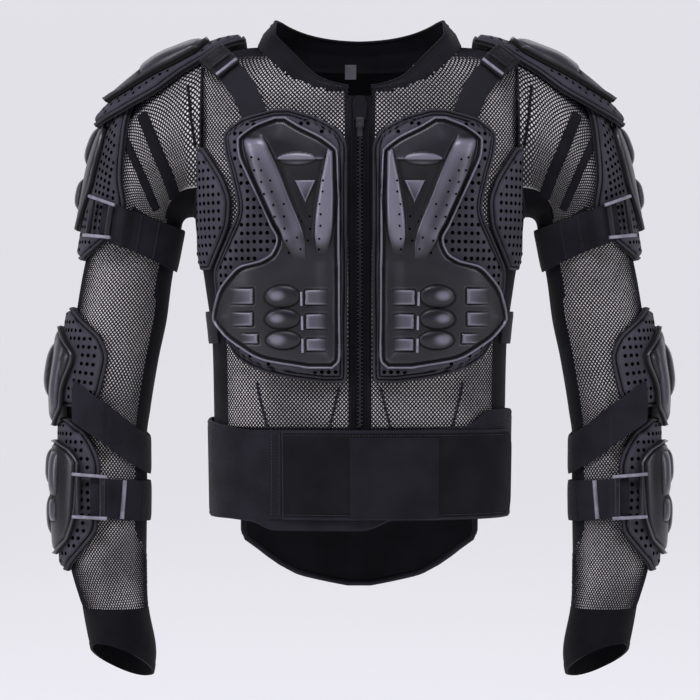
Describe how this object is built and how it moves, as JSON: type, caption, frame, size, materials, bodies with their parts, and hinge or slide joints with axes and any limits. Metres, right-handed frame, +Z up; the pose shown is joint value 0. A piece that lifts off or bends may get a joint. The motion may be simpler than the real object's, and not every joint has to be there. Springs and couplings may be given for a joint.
{
  "type": "motorcycle armor jacket",
  "caption": "Long-sleeved black net protective jacket with foam-backed hard guards on chest, shoulders and arms, a wide belt and a back pad.",
  "frame": {"origin": "middle of the line on which the jacket hangs over the shoulders", "axes": "+Z up, the chest faces -Y, the wearer's left is +X"},
  "size_m": [0.7114, 0.277, 0.7362],
  "materials": {
    "net": "open black net",
    "fabric": "smooth black stretch fabric",
    "foam": "perforated black foam with bound edge",
    "plastic": "satin black plastic",
    "webbing": "black elastic webbing",
    "tab": "grey woven tab"
  },
  "bodies": {
    "root": {"body_net": "net", "sleeve_net_left": "net", "sleeve_net_right": "net", "collar": "fabric", "zip_placket": "fabric", "zip_teeth": "plastic", "zip_garage": "fabric", "neck_tab": "tab", "chest_pad_left": "foam", "chest_pad_right": "foam", "chest_plate_left": "plastic", "chest_plate_right": "plastic", "rib_pad_left": "foam", "rib_pad_right": "foam", "side_strap_left": "webbing", "side_strap_right": "webbing", "shoulder_pad_left": "foam", "shoulder_pad_right": "foam", "shoulder_plate_left": "plastic", "shoulder_plate_right": "plastic", "shoulder_strap_left": "webbing", "shoulder_strap_right": "webbing", "shoulder_buckle_left": "plastic", "shoulder_buckle_right": "plastic", "arm_pad_left": "foam", "arm_pad_right": "foam", "arm_plate_left": "plastic", "arm_plate_right": "plastic", "arm_strap_left": "webbing", "arm_strap_right": "webbing", "arm_loop_left": "plastic", "arm_loop_right": "plastic", "elbow_pad_left": "foam", "elbow_pad_right": "foam", "elbow_plate_left": "plastic", "elbow_plate_right": "plastic", "elbow_strap_left": "webbing", "elbow_strap_right": "webbing", "forearm_pad_left": "foam", "forearm_pad_right": "foam", "forearm_plate_left": "plastic", "forearm_plate_right": "plastic", "forearm_strap_left": "webbing", "forearm_strap_right": "webbing", "forearm_loop_left": "plastic", "forearm_loop_right": "plastic", "cuff_left": "fabric", "cuff_right": "fabric", "waist_belt": "webbing", "belt_flap": "fabric", "belt_strip": "webbing", "belt_patch": "fabric", "back_pad": "foam"}
  },
  "joints": []
}
